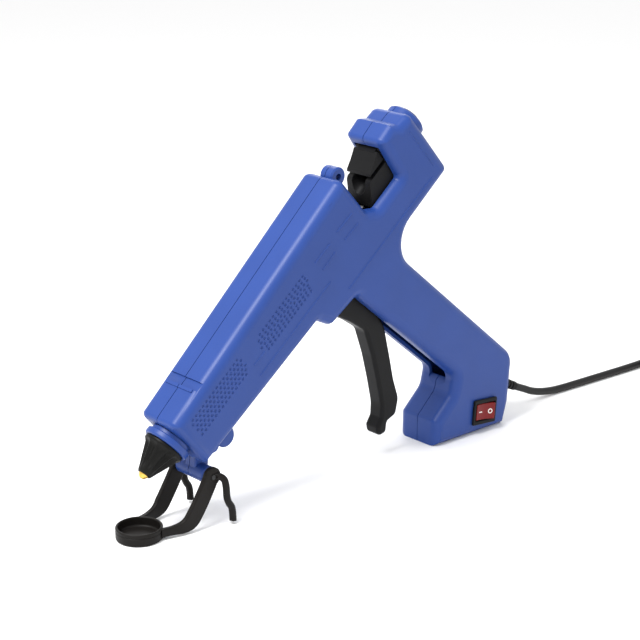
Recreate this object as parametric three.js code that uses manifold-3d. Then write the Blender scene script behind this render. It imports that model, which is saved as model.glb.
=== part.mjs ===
// A corded hot glue gun for 11 mm sticks, standing on its grip base and on a folding front stand.
// Millimetres, +Z up, +X towards the nozzle, +Y to the gun's left side.
// The origin lies on the flat underside of the base, in the gun's middle plane.
import * as THREE from "three";
import { mergeVertices } from "three/addons/utils/BufferGeometryUtils.js";
import Module from "manifold-3d";

const wasm = await Module();
wasm.setup();

// ---------------------------------------------------------------- driving dimensions
const PLAY = 0.3; // gap between neighbouring pieces
const WALL = 2.5; // wall of the housing
const HALF_WIDTH = 20; // half the width of the housing
const INNER_HALF = HALF_WIDTH - WALL;
const EDGE_BREAK = 2.5; // chamfer round each side face of the housing
const SEAM_Y = -0.5; // plane where the two halves meet

// The barrel leans down towards the nozzle. Its own frame starts at the nozzle tip:
// "back" is measured along the stick, away from the tip, and "up" square to it.
const TIP = { x: 287.1, z: 41.1 };
const LEAN = THREE.MathUtils.degToRad(40.8);
const BARREL_FRONT = 33;
const BARREL_REAR = 233;
const BLOCK_FRONT = 270; // the rear block, behind the loading gap
const BLOCK_REAR = 303.5;
const GAP_FLOOR = -11.5;

const STICK_BORE = 6.2;
const SLEEVE_RADIUS = 8;
const CARRIAGE_SLOT = 12.4; // half the width of the slot that the feed carriage runs in

// The trigger turns about this pin, and its arm pushes the feed link forward.
const TRIGGER_PIVOT = { back: 175.7, up: -37.2 };
const TRIGGER_HALF = 7;
const TRIGGER_SLOT_HALF = 8.3;
const TRIGGER_STROKE = THREE.MathUtils.degToRad(22);
const ARM_LENGTH = 24.5;
const PIN_RADIUS = 2;
const BORE_CLEARANCE = 0.35;

const SWITCH = { x: -11, z: 17, tilt: THREE.MathUtils.degToRad(5), width: 24, height: 19.5 };
const ROCKER_TILT = THREE.MathUtils.degToRad(-9);

const STAND_PIVOT = { x: 243, z: 35 };
const CUP = { x: 290, radius: 15.5, height: 8.5, wall: 1.7, floor: 2 };

const CORD_RADIUS = 2.9;
const CORD_EXIT = { x: -43, z: 28.5, droop: THREE.MathUtils.degToRad(25), relief: 26 };
const COIL = { x: -268, y: 20, middle: 31.3, rows: 3, columns: 2, pitch: 5.8 };

// ---------------------------------------------------------------- materials
function material(color, roughness, metalness = 0) {
  return new THREE.MeshStandardMaterial({ color, roughness, metalness });
}
const bluePlastic = material(0x4261ad, 0.5);
const blackPlastic = material(0x1c1c1d, 0.5);
const blackRubber = material(0x161615, 0.7);
const redPlastic = material(0xa8202a, 0.35);
const silicone = material(0xd9cfb4, 0.6);
const insulation = material(0xcfc7b5, 0.9);
const heatPlastic = material(0x5b4a3c, 0.7);
const aluminium = material(0xb9bcc0, 0.45, 1);
const steel = material(0xa5a8ac, 0.35, 1);
const brass = material(0xd8a62e, 0.3, 1);

// ---------------------------------------------------------------- shapes
// A closed outline from corners [across, up, radius], each corner rounded by a short curve.
function roundedOutline(corners) {
  const shape = new THREE.Shape();
  corners.forEach(([x, z, radius = 0], index) => {
    const corner = new THREE.Vector2(x, z);
    const before = neighbour(corners, index, -1).sub(corner);
    const after = neighbour(corners, index, 1).sub(corner);
    const opening = Math.acos(before.clone().normalize().dot(after.clone().normalize()));
    const cut = radius / Math.tan(opening / 2);
    const start = before.setLength(cut).add(corner);
    const end = after.setLength(cut).add(corner);
    if (index === 0) shape.moveTo(start.x, start.y);
    else shape.lineTo(start.x, start.y);
    if (radius > 0) shape.quadraticCurveTo(corner.x, corner.y, end.x, end.y);
  });
  shape.closePath();
  return shape;
}

function neighbour(corners, index, step) {
  const [x, z] = corners[(index + step + corners.length) % corners.length];
  return new THREE.Vector2(x, z);
}

// The same outline moved inward by a distance. The corners run anticlockwise.
function inset(corners, distance) {
  return corners.map(([x, z, radius = 0], index) => {
    const corner = new THREE.Vector2(x, z);
    const before = corner.clone().sub(neighbour(corners, index, -1)).normalize();
    const after = neighbour(corners, index, 1).sub(corner).normalize();
    const share = distance / (1 + before.dot(after));
    const convex = before.cross(after) > 0;
    const turned = convex ? radius - distance : radius + distance;
    return [
      x - (before.y + after.y) * share,
      z + (before.x + after.x) * share,
      radius > 0 ? Math.max(turned, 0) : 0,
    ];
  });
}

// An outline in the XZ plane, given thickness from one Y to another.
function slab(corners, fromY, toY, chamfer = 0) {
  const geometry = new THREE.ExtrudeGeometry(roundedOutline(corners), {
    depth: toY - fromY - 2 * chamfer,
    bevelEnabled: chamfer > 0,
    bevelThickness: chamfer,
    bevelSize: chamfer,
    bevelOffset: -chamfer,
    bevelSegments: 1,
    curveSegments: 4,
  });
  return geometry.rotateX(Math.PI / 2).translate(0, toY - chamfer, 0);
}

// A slab with the same thickness on both sides of the middle plane.
function middleSlab(corners, half, chamfer = 0) {
  return slab(corners, -half, half, chamfer);
}

function crossRod(radius, fromY, toY, x, z, sides = 20) {
  const rod = new THREE.CylinderGeometry(radius, radius, toY - fromY, sides);
  return rod.translate(x, (fromY + toY) / 2, z);
}

// A body turned about the stick's axis, from a closed profile of [radius, back].
function turnedAlongBarrel(profile, sides = 24) {
  const points = profile.map(([radius, back]) => new THREE.Vector2(radius, back));
  if (THREE.ShapeUtils.area(points) < 0) points.reverse();
  const closesOnAxis = points[0].x === 0 && points.at(-1).x === 0;
  if (!closesOnAxis) points.push(points[0].clone());
  return new THREE.LatheGeometry(points, sides).rotateZ(Math.PI / 2);
}

function pipeAlongBarrel(outer, inner, from, to, sides = 24) {
  return turnedAlongBarrel([[inner, from], [outer, from], [outer, to], [inner, to]], sides);
}

function barAlongBarrel(radius, from, to, sides = 20) {
  return turnedAlongBarrel([[0, from], [radius, from], [radius, to], [0, to]], sides);
}

// Corners measured along the barrel, for slabs inside the barrel group.
function alongBarrel(corners) {
  return corners.map(([back, up, radius = 0]) => [-back, up, radius]);
}

function barrelBox(fromBack, toBack, halfWidth, fromUp, toUp) {
  const box = new THREE.BoxGeometry(toBack - fromBack, 2 * halfWidth, toUp - fromUp);
  return box.translate(-(fromBack + toBack) / 2, 0, (fromUp + toUp) / 2);
}

const barrelMatrix = new THREE.Matrix4().makeRotationY(LEAN).setPosition(TIP.x, 0, TIP.z);

function inPlace(barrelGeometry) {
  return barrelGeometry.applyMatrix4(barrelMatrix);
}

// The place, in the gun's frame, of a point given along the barrel.
function barrelPoint(back, up, radius = 0) {
  const x = TIP.x - back * Math.cos(LEAN) + up * Math.sin(LEAN);
  const z = TIP.z + back * Math.sin(LEAN) + up * Math.cos(LEAN);
  return [x, z, radius];
}

function roundSection(radius, sides = 8) {
  const section = new THREE.Shape();
  section.absarc(0, 0, radius, 0, 2 * Math.PI);
  return new THREE.Shape(section.getPoints(sides / 2).slice(0, -1));
}

function sweep(points, radius, steps, sides = 8) {
  const path = new THREE.CatmullRomCurve3(points.map((p) => new THREE.Vector3(...p)));
  return new THREE.ExtrudeGeometry(roundSection(radius, sides), { steps, extrudePath: path });
}

// ---------------------------------------------------------------- cutting and joining
function solid(geometry) {
  const plain = geometry.clone();
  plain.deleteAttribute("normal");
  plain.deleteAttribute("uv");
  const merged = mergeVertices(plain, 1e-3);
  return new wasm.Manifold(
    new wasm.Mesh({
      numProp: 3,
      vertProperties: new Float32Array(merged.attributes.position.array),
      triVerts: new Uint32Array(merged.index.array),
    }),
  );
}

function surface(body) {
  const mesh = body.getMesh();
  const geometry = new THREE.BufferGeometry();
  geometry.setAttribute("position", new THREE.BufferAttribute(mesh.vertProperties, 3));
  geometry.setIndex(new THREE.BufferAttribute(mesh.triVerts, 1));
  return geometry;
}

function joined(...geometries) {
  return surface(geometries.map(solid).reduce((whole, next) => whole.add(next)));
}

function cut(geometry, ...tools) {
  return surface(tools.map(solid).reduce((whole, tool) => whole.subtract(tool), solid(geometry)));
}

function kept(geometry, region) {
  return surface(solid(geometry).intersect(solid(region)));
}

// ---------------------------------------------------------------- the scene
const gun = new THREE.Group();
const barrel = new THREE.Group();
barrel.position.set(TIP.x, 0, TIP.z);
barrel.rotation.y = LEAN;
gun.add(barrel);

function add(parent, name, geometry, finish) {
  const mesh = new THREE.Mesh(geometry, finish);
  mesh.name = name;
  parent.add(mesh);
  return mesh;
}

// ---------------------------------------------------------------- housing halves
const housingOutline = [
  [-36, 0, 0],
  [37.5, 0, 0],
  [37.5, 19.5, 5],
  [20.5, 35.5, 9],
  [17, 50.2, 8],
  [114.5, 131.4, 5],
  [138, 115, 5],
  [150.5, 121, 3],
  barrelPoint(BARREL_FRONT, -23.3),
  barrelPoint(BARREL_FRONT, 18.7, 4),
  barrelPoint(BARREL_REAR, 30, 5),
  barrelPoint(BARREL_REAR + 0.5, -5, 4),
  barrelPoint(240, GAP_FLOOR, 4),
  barrelPoint(BLOCK_FRONT - 1.7, GAP_FLOOR, 2.5),
  barrelPoint(BLOCK_FRONT + 1.7, 21.5, 4),
  barrelPoint(286, 22.5, 0),
  barrelPoint(291.5, 16.8, 0),
  barrelPoint(BLOCK_REAR, 16.2, 5),
  barrelPoint(BLOCK_REAR, -42.7, 5),
  [83.6, 160.4, 21],
  [-44, 53.2, 14],
  [-41, 17, 0],
];

const screwPlaces = [
  barrelPoint(44, -17),
  barrelPoint(215, 21),
  barrelPoint(293, -33),
  [92, 151],
  [20, 84],
  [24, 10],
  [-27, 52],
];
const SCREW = { shaft: 1.25, head: 2.9, headTop: -18, headSeat: -15.2, end: 9 };

const [pivotX, pivotZ] = barrelPoint(TRIGGER_PIVOT.back, TRIGGER_PIVOT.up);
const BOSS_TOP = { end: 309, radius: 14 };
const LUG = { back: 237.5, up: 22.8, radius: 6.5, hole: 2.3, half: 6 };
const REST_BUMP = { back: 57, up: -30.5, radius: 7.5, half: 9.5 };

function standBracket() {
  const neck = [[236.5, 36], [248, 36], [247, 46], [243, 51], [235, 55.5]];
  return joined(
    middleSlab(neck, 5.5),
    crossRod(6, -14.5, 14.5, STAND_PIVOT.x, STAND_PIVOT.z),
  );
}

function housingShell() {
  const [lugX, lugZ] = barrelPoint(LUG.back, LUG.up);
  const [bumpX, bumpZ] = barrelPoint(REST_BUMP.back, REST_BUMP.up);
  const outside = joined(
    middleSlab(housingOutline, HALF_WIDTH, EDGE_BREAK),
    inPlace(barAlongBarrel(BOSS_TOP.radius, BLOCK_REAR - 2, BOSS_TOP.end, 28)),
    crossRod(LUG.radius, -LUG.half, LUG.half, lugX, lugZ),
    crossRod(REST_BUMP.radius, -REST_BUMP.half, REST_BUMP.half, bumpX, bumpZ),
    standBracket(),
  );
  const hollow = cut(outside, middleSlab(inset(housingOutline, WALL), INNER_HALF));
  const screwPosts = screwPlaces.map(([x, z]) => crossRod(4.8, -HALF_WIDTH + 1, HALF_WIDTH - 1, x, z, 16));
  const pivotPosts = [-1, 1].map((side) => pivotPost(side));
  const ledges = [-1, 1].map((side) => carriageLedge(side));
  return joined(hollow, ...screwPosts, ...pivotPosts, ...ledges);
}

function pivotPost(side) {
  const inner = TRIGGER_SLOT_HALF + 0.1;
  const ends = [side * inner, side * (INNER_HALF + 0.5)].sort((a, b) => a - b);
  return crossRod(5, ends[0], ends[1], pivotX, pivotZ, 16);
}

function carriageLedge(side) {
  const ledge = barrelBox(238, 292, 2.2, -22, -19.5);
  return inPlace(ledge.translate(0, side * (INNER_HALF - 1.7), 0));
}

const TRIGGER_SLOT = [[134, 100], [134, 123], [116, 142], [17, 62], [11, 50], [21, 41], [60, 50]];

function housingOpenings() {
  const [lugX, lugZ] = barrelPoint(LUG.back, LUG.up);
  const gapSide = alongBarrel([[226, -14.8], [272.5, -14.8], [272.5, -3], [226, -3]]);
  const recess = alongBarrel([[240, -14.8], [276, -14.8], [276, 15.4], [240, 15.4]]);
  const screwHoles = screwPlaces.flatMap(([x, z]) => [
    crossRod(SCREW.shaft + PLAY, -HALF_WIDTH - 1, 10, x, z, 12),
    crossRod(SCREW.head + 0.4, -HALF_WIDTH - 1, SCREW.headSeat + PLAY, x, z, 16),
  ]);
  return [
    inPlace(barAlongBarrel(13, BARREL_FRONT - 3, BARREL_FRONT + 4, 28)),
    inPlace(barAlongBarrel(SLEEVE_RADIUS + 0.4, BARREL_REAR - 5, BARREL_REAR + 4)),
    inPlace(middleSlab(gapSide, CARRIAGE_SLOT)),
    inPlace(middleSlab(recess, CARRIAGE_SLOT)),
    inPlace(barAlongBarrel(8.6, BLOCK_REAR - 6, BOSS_TOP.end + 2)),
    crossRod(LUG.hole, -HALF_WIDTH, HALF_WIDTH, lugX, lugZ, 12),
    crossRod(1.7 + PLAY, -HALF_WIDTH, HALF_WIDTH, STAND_PIVOT.x, STAND_PIVOT.z, 12),
    crossRod(PIN_RADIUS + 0.3, -15.3, 15.3, pivotX, pivotZ, 14),
    middleSlab(TRIGGER_SLOT, TRIGGER_SLOT_HALF),
    switchOpening(),
    cordOpening(),
    ...screwHoles,
  ];
}

function switchOpening() {
  const hole = new THREE.BoxGeometry(SWITCH.width - 2.4, 10, SWITCH.height - 3.4);
  return hole.rotateY(-SWITCH.tilt).translate(SWITCH.x, HALF_WIDTH, SWITCH.z);
}

// A solid turned about the cord's way out, from a closed profile of [radius, distance outward].
function turnedAlongExit(profile, sides = 20) {
  const points = profile.map(([radius, out]) => new THREE.Vector2(radius, out));
  if (THREE.ShapeUtils.area(points) < 0) points.reverse();
  const closesOnAxis = points[0].x === 0 && points.at(-1).x === 0;
  if (!closesOnAxis) points.push(points[0].clone());
  const turned = new THREE.LatheGeometry(points, sides).rotateZ(Math.PI / 2);
  return turned.rotateY(-CORD_EXIT.droop).translate(CORD_EXIT.x, 0, CORD_EXIT.z);
}

function cordOpening() {
  return turnedAlongExit([[0, -8], [4.5, -8], [4.5, 8], [0, 8]]);
}

function halfSpace(fromY, toY) {
  const reach = 1200;
  return new THREE.BoxGeometry(reach, toY - fromY, reach).translate(0, (fromY + toY) / 2, 0);
}

const housing = cut(housingShell(), ...housingOpenings());
add(gun, "left_housing", kept(housing, halfSpace(SEAM_Y + PLAY / 2, 30)), bluePlastic);
add(gun, "right_housing", kept(housing, halfSpace(-30, SEAM_Y - PLAY / 2)), bluePlastic);

function housingScrew([x, z]) {
  return joined(
    crossRod(SCREW.shaft, SCREW.headSeat - 0.5, SCREW.end, x, z, 8),
    crossRod(SCREW.head, SCREW.headTop, SCREW.headSeat, x, z, 12),
  );
}
screwPlaces.forEach((place, index) => {
  add(gun, `housing_screw_${index + 1}`, housingScrew(place), steel);
});

// ---------------------------------------------------------------- nozzle and heater
const NOZZLE_BORE = 1.1;
const nozzleProfile = [
  [1.9, 0], [3.4, 2.2], [5.6, 12], [7.4, 24], [7.4, 34], [5, 34], [5, 44],
  [STICK_BORE - 2, 44], [STICK_BORE - 2, 20], [NOZZLE_BORE, 9], [NOZZLE_BORE, 0],
];
add(barrel, "nozzle", turnedAlongBarrel(nozzleProfile), brass);

const bootProfile = [
  [4.6, 2.6], [12.4, 21.5], [14.2, 23], [14.2, 25.2],
  [7.4 + PLAY, 25.2], [7.4 + PLAY, 24], [5.6 + PLAY, 12], [3.6 + PLAY, 2.6],
];
add(barrel, "nozzle_boot", turnedAlongBarrel(bootProfile, 32), blackRubber);

const ringProfile = [
  [16, 25.5], [16, 30.2], [14, 30.2], [14, 32.7], [12.7, 32.7], [12.7, 37.2],
  [7.4 + PLAY, 37.2], [7.4 + PLAY, 25.5],
];
add(barrel, "front_ring", turnedAlongBarrel(ringProfile, 32), bluePlastic);

const CHAMBER = { from: 38, to: 140, half: 15, up: 9.5, bore: 6, spigot: 152 };
const HEATER = { y: 11.2, radius: 2.5, from: 58, to: 143 };

function meltChamber() {
  const block = barrelBox(CHAMBER.from, CHAMBER.to, CHAMBER.half, -CHAMBER.up, CHAMBER.up);
  const body = joined(block, barAlongBarrel(6.9, CHAMBER.to - 1, CHAMBER.spigot));
  const heaterPockets = [-1, 1].map((side) =>
    barAlongBarrel(HEATER.radius + PLAY, HEATER.from - PLAY, CHAMBER.to + 1, 14)
      .translate(0, side * HEATER.y, 0),
  );
  return cut(
    body,
    barAlongBarrel(CHAMBER.bore, 44 + PLAY, CHAMBER.spigot + 1),
    barAlongBarrel(5 + PLAY, CHAMBER.from - 1, 45),
    ...heaterPockets,
  );
}
add(barrel, "melt_chamber", meltChamber(), aluminium);

for (const [name, side] of [["left_heater", 1], ["right_heater", -1]]) {
  const heater = barAlongBarrel(HEATER.radius, HEATER.from, HEATER.to, 14);
  add(barrel, name, heater.translate(0, side * HEATER.y, 0), insulation);
}

function chamberSupport(from, to) {
  const plate = barrelBox(from, to, INNER_HALF - PLAY, -CHAMBER.up - 2.3, CHAMBER.up + 2.3);
  const window = barrelBox(from - 1, to + 1, CHAMBER.half + PLAY, -CHAMBER.up - PLAY, CHAMBER.up + PLAY);
  return cut(plate, window);
}
add(barrel, "front_chamber_support", chamberSupport(50, 54), heatPlastic);
add(barrel, "rear_chamber_support", chamberSupport(132, 136), heatPlastic);

function insulationSleeve() {
  const outside = barrelBox(55, 131, CHAMBER.half + 1.9, -CHAMBER.up - 2, CHAMBER.up + 2);
  const inside = barrelBox(54, 132, CHAMBER.half + 0.7, -CHAMBER.up - 0.7, CHAMBER.up + 0.7);
  return cut(outside, inside);
}
add(barrel, "insulation_sleeve", insulationSleeve(), insulation);

const fuse = barAlongBarrel(1.9, 92, 106, 12).translate(0, 0, CHAMBER.up + 2 + PLAY + 1.9);
add(barrel, "thermal_fuse", fuse, steel);

const sleeveProfile = [
  [7.2, CHAMBER.to + PLAY], [8.4, CHAMBER.to + PLAY], [8.4, 153], [SLEEVE_RADIUS, 156],
  [SLEEVE_RADIUS, BARREL_REAR], [STICK_BORE, BARREL_REAR], [STICK_BORE, 152.5], [7.2, 152.5],
];
add(barrel, "inlet_sleeve", turnedAlongBarrel(sleeveProfile), silicone);
add(barrel, "sleeve_clip", pipeAlongBarrel(9.9, 8.4 + PLAY, 145, 150), steel);

const bushProfile = [
  [STICK_BORE, 288], [8.3, 288], [8.3, BOSS_TOP.end], [9.6, BOSS_TOP.end + PLAY],
  [9.6, BOSS_TOP.end + 1.8], [STICK_BORE, BOSS_TOP.end + 1.8],
];
add(barrel, "rear_guide_bush", turnedAlongBarrel(bushProfile), blackPlastic);

// ---------------------------------------------------------------- trigger
function pointOnTriggerArm(angle) {
  return {
    back: TRIGGER_PIVOT.back + ARM_LENGTH * Math.sin(angle),
    up: TRIGGER_PIVOT.up + ARM_LENGTH * Math.cos(angle),
  };
}
const armPin = pointOnTriggerArm(TRIGGER_STROKE / 2);
const carriagePin = { back: 250, up: -18 };
const LINK_HALF = 2;
const EAR_GAP = LINK_HALF + PLAY;

function trigger() {
  const [armX, armZ] = barrelPoint(armPin.back, armPin.up);
  const lever = [
    [133.5, 121.5, 3],
    [109.5, 108.5, 8],
    [97, 100, 8],
    [89.8, 78, 12],
    [85, 60.4, 0],
    [79.6, 38, 6],
    [80.2, 29.5, 2],
    [83.8, 23.5, 2],
    [81.5, 17.5, 2],
    [77.2, 18.5, 2],
    [76.4, 27, 2],
    [66.5, 30.5, 4],
    [63.5, 42, 8],
    [71.6, 74.8, 0],
    [78.1, 99.3, 6],
    [88, 116, 6],
    [112, 133, 6],
    [126, 134, 4],
    [134, 129, 4],
  ].reverse();
  const arm = [
    barrelPoint(TRIGGER_PIVOT.back - 5, TRIGGER_PIVOT.up, 2),
    barrelPoint(armPin.back - 3.8, armPin.up + 3.8, 3.5),
    barrelPoint(armPin.back + 3.8, armPin.up + 3.8, 3.5),
    barrelPoint(TRIGGER_PIVOT.back + 12, TRIGGER_PIVOT.up, 2),
  ];
  const body = joined(
    middleSlab(lever, TRIGGER_HALF, 1.5),
    middleSlab(arm, TRIGGER_HALF - 1),
    crossRod(5.5, -TRIGGER_HALF, TRIGGER_HALF, pivotX, pivotZ),
  );
  const linkSlot = alongBarrel([
    [armPin.back - 9, armPin.up - 5.5],
    [armPin.back + 22, armPin.up - 9],
    [armPin.back + 22, armPin.up + 8],
    [armPin.back - 9, armPin.up + 8],
  ]);
  return cut(
    body,
    crossRod(PIN_RADIUS + BORE_CLEARANCE, -20, 20, pivotX, pivotZ, 14),
    crossRod(1.6 + PLAY, -20, 20, armX, armZ, 12),
    inPlace(middleSlab(linkSlot, EAR_GAP)),
  );
}
add(gun, "trigger", trigger(), blackPlastic);
add(gun, "trigger_pivot_pin", crossRod(PIN_RADIUS, -15, 15, pivotX, pivotZ, 14), steel);

function armLinkPin() {
  const [armX, armZ] = barrelPoint(armPin.back, armPin.up);
  return crossRod(1.6, -TRIGGER_HALF + 1, TRIGGER_HALF - 1, armX, armZ, 12);
}
add(gun, "front_link_pin", armLinkPin(), steel);

// ---------------------------------------------------------------- feed link and carriage
function feedLink() {
  const bar = alongBarrel([
    [armPin.back - 3.4, armPin.up - 3.2, 3],
    [carriagePin.back + 3.4, carriagePin.up - 3.4, 3],
    [carriagePin.back + 3.4, carriagePin.up + 3.2, 3],
    [armPin.back - 3.4, armPin.up + 3.4, 3],
  ]);
  return cut(
    middleSlab(bar, LINK_HALF),
    crossRod(1.6 + PLAY, -5, 5, -armPin.back, armPin.up, 12),
    crossRod(1.6 + 0.8, -5, 5, -carriagePin.back, carriagePin.up, 12),
  );
}
add(barrel, "feed_link", feedLink(), steel);

const CLAMP_PIN = { back: 275, up: 10 };

function feedCarriage() {
  const slider = barrelBox(243, 284, 9, -23.5, -12);
  const flange = barrelBox(246, 284, INNER_HALF - PLAY, -19.2, -16.4);
  const tower = alongBarrel([[241.2, -12.5], [283, -12.5], [283, 2], [252, 2.5], [250, 1.2]]);
  const ear = alongBarrel([[270.5, 0], [279.5, 0], [279.5, 13.6, 3], [270.5, 13.6, 3]]);
  const body = joined(
    slider,
    flange,
    middleSlab(tower, CARRIAGE_SLOT - PLAY - 0.4),
    middleSlab(ear, CARRIAGE_SLOT - PLAY - 0.4),
  );
  return cut(
    body,
    barAlongBarrel(STICK_BORE + 0.3, 235, 290),
    barrelBox(235, 290, STICK_BORE + 0.3, 0, 20),
    barrelBox(262, 285, 9, 3, 20),
    barrelBox(240, 258, EAR_GAP, -30, -12.2),
    crossRod(1.6 + PLAY, -8, 8, -carriagePin.back, carriagePin.up, 12),
    crossRod(1.5 + PLAY, -20, 20, -CLAMP_PIN.back, CLAMP_PIN.up, 12),
  );
}
add(barrel, "feed_carriage", feedCarriage(), blackPlastic);
const rearLinkPin = crossRod(1.6, -7.5, 7.5, -carriagePin.back, carriagePin.up, 12);
add(barrel, "rear_link_pin", rearLinkPin, steel);

function stickClamp() {
  const wedge = alongBarrel([
    [253.5, 5.2], [269.5, 5.2], [269.5, 13.6, 1], [262, 9.6, 2], [254.5, 6.6],
  ]);
  const tail = alongBarrel([[268, 6.4], [278, 6.4, 2], [278, 13.2, 2], [268, 13.2]]);
  return cut(
    joined(middleSlab(wedge, CARRIAGE_SLOT - PLAY - 0.6), middleSlab(tail, 8.7)),
    crossRod(1.5 + PLAY, -20, 20, -CLAMP_PIN.back, CLAMP_PIN.up, 12),
  );
}
add(barrel, "stick_clamp", stickClamp(), blackPlastic);
const clampPin = crossRod(1.5, -11.5, 11.5, -CLAMP_PIN.back, CLAMP_PIN.up, 12);
add(barrel, "clamp_pin", clampPin, steel);

// The pull spring between the carriage and the block's rear wall, as the sleeve its turns fill.
function returnSpring() {
  const coil = pipeAlongBarrel(2.6, 1.6, 284 + PLAY, BLOCK_REAR - WALL - PLAY, 12);
  return coil.translate(0, 0, carriagePin.up);
}
add(barrel, "return_spring", returnSpring(), steel);

// ---------------------------------------------------------------- switch
const switchPlace = new THREE.Group();
switchPlace.position.set(SWITCH.x, HALF_WIDTH, SWITCH.z);
switchPlace.rotation.y = -SWITCH.tilt;
gun.add(switchPlace);

function switchBody() {
  const flange = new THREE.BoxGeometry(SWITCH.width, 2, SWITCH.height).translate(0, PLAY + 1, 0);
  const body = new THREE.BoxGeometry(SWITCH.width - 3, 17, SWITCH.height - 4).translate(0, -7.5, 0);
  const pocket = new THREE.BoxGeometry(19.6, 10.2, 13.2).translate(0, -2, 0);
  return cut(joined(flange, body), pocket);
}
add(switchPlace, "switch_body", switchBody(), blackPlastic);

function rocker() {
  const profile = [[-8.3, -4], [8.3, -4], [8.8, 3.4], [0, 2], [-8.8, 3.4]];
  const block = slab(profile, -6.2, 6.2).rotateX(-Math.PI / 2);
  return block.rotateZ(ROCKER_TILT);
}
add(switchPlace, "rocker_button", rocker(), redPlastic);

[-6, 0, 6].forEach((x, index) => {
  const blade = new THREE.BoxGeometry(0.8, 7, 4.8).translate(x, -16 - PLAY - 3.5, 0);
  add(switchPlace, `switch_terminal_${index + 1}`, blade, brass);
});

// ---------------------------------------------------------------- wiring inside the grip
function gripLead(side, start) {
  const barrelRun = [[222, -31], [196, -24], [168, -10], [152, -3]].map(([back, up]) => {
    const [x, z] = barrelPoint(back, up);
    return [x, side * 14.2, z];
  });
  const [endX, endZ] = barrelPoint(HEATER.to + 1.2, 0);
  return sweep(
    [
      [start, side * 3, 32],
      [start + 3, side * 7, 43],
      [4, side * 12.5, 72],
      [24, side * 13.5, 99],
      [58, side * 13.5, 129.5],
      ...barrelRun,
      [endX, side * HEATER.y, endZ],
    ],
    1.1,
    36,
    6,
  );
}
add(gun, "left_lead", gripLead(1, -8), blackRubber);
add(gun, "right_lead", gripLead(-1, -18), insulation);

// ---------------------------------------------------------------- cord, from the base to the plug
const CORD_INSIDE = 18; // the cord's end inside the base, under its clamp
const reliefProfile = [
  [0, -CORD_INSIDE], [CORD_RADIUS, -CORD_INSIDE], [CORD_RADIUS, -8.2], [5.6, -8.2], [5.6, -6.4],
  [4.2, -6.4], [4.2, 1.6], [5, 1.6], [CORD_RADIUS + 0.6, CORD_EXIT.relief], [0, CORD_EXIT.relief],
];
add(gun, "strain_relief", turnedAlongExit(reliefProfile), blackRubber);

// A bar over the cord's inner end, held by two screws. Both lean with the cord.
const CLAMP = { inside: 13, screwY: 5.5, half: 8, thick: 3 };
const clampTop = CORD_RADIUS + PLAY + CLAMP.thick;

function placedOverCord(geometry) {
  return geometry.translate(CLAMP.inside, 0, 0)
    .rotateY(-CORD_EXIT.droop)
    .translate(CORD_EXIT.x, 0, CORD_EXIT.z);
}

function cordClamp() {
  const bar = new THREE.BoxGeometry(6, 2 * CLAMP.half, CLAMP.thick);
  const holes = [-1, 1].map((side) => {
    const hole = new THREE.CylinderGeometry(1.3, 1.3, 10, 10).rotateX(Math.PI / 2);
    return hole.translate(0, side * CLAMP.screwY, 0);
  });
  return placedOverCord(cut(bar, ...holes).translate(0, 0, clampTop - CLAMP.thick / 2));
}
add(gun, "cord_clamp", cordClamp(), blackPlastic);

function cordClampScrew(side) {
  const shaft = new THREE.CylinderGeometry(1, 1, 10, 8).translate(0, -5, 0);
  const head = new THREE.CylinderGeometry(2.2, 2.2, 1.6, 10).translate(0, 0.8, 0);
  const screw = joined(shaft, head).rotateX(Math.PI / 2);
  return placedOverCord(screw.translate(0, side * CLAMP.screwY, clampTop + PLAY));
}
add(gun, "left_clamp_screw", cordClampScrew(1), steel);
add(gun, "right_clamp_screw", cordClampScrew(-1), steel);

const cordStart = {
  x: CORD_EXIT.x - (CORD_EXIT.relief + PLAY) * Math.cos(CORD_EXIT.droop),
  z: CORD_EXIT.z - (CORD_EXIT.relief + PLAY) * Math.sin(CORD_EXIT.droop),
};
const cordRoute = [
  [cordStart.x, 0, cordStart.z],
  [-79, 0, 11.9],
  [-94, 0.4, 6.2],
  [-112, 1.2, 3.4],
  [-135, 2.6, 3],
  [-160, 4, 3],
  [-190, 5.6, 3],
  [-214.5, 6.2, 3],
  [-223.2, 5.1, 3],
  [-231.3, 1.7, 3],
];
add(gun, "power_cord", sweep(cordRoute, CORD_RADIUS, 16, 10), blackRubber);

function ringSolid(inner, outer, height) {
  const section = [[inner, 0], [outer, 0], [outer, height], [inner, height], [inner, 0]];
  const points = section.map(([radius, z]) => new THREE.Vector2(radius, z));
  return new THREE.LatheGeometry(points, 32).rotateX(Math.PI / 2);
}

const COIL_HALF_WIDTH = (COIL.columns * COIL.pitch) / 2;
const COIL_HEIGHT = COIL.rows * COIL.pitch;
const coil = ringSolid(COIL.middle - COIL_HALF_WIDTH, COIL.middle + COIL_HALF_WIDTH, COIL_HEIGHT);
add(gun, "cord_coil", coil, blackRubber).position.set(COIL.x, COIL.y, 0);

// The cord's last turn lies on the coil and rises into the plug. Angles are in degrees from +X.
const TOP_TURN = { from: 15, to: -255, step: 15, rises: -155, risen: -265 };
const PLUG = {
  x: COIL.x,
  y: COIL.y + COIL.middle,
  z: COIL_HEIGHT + 2 * CORD_RADIUS + 2 * PLAY,
  length: 30,
  half: 10,
  height: 14,
};

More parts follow.
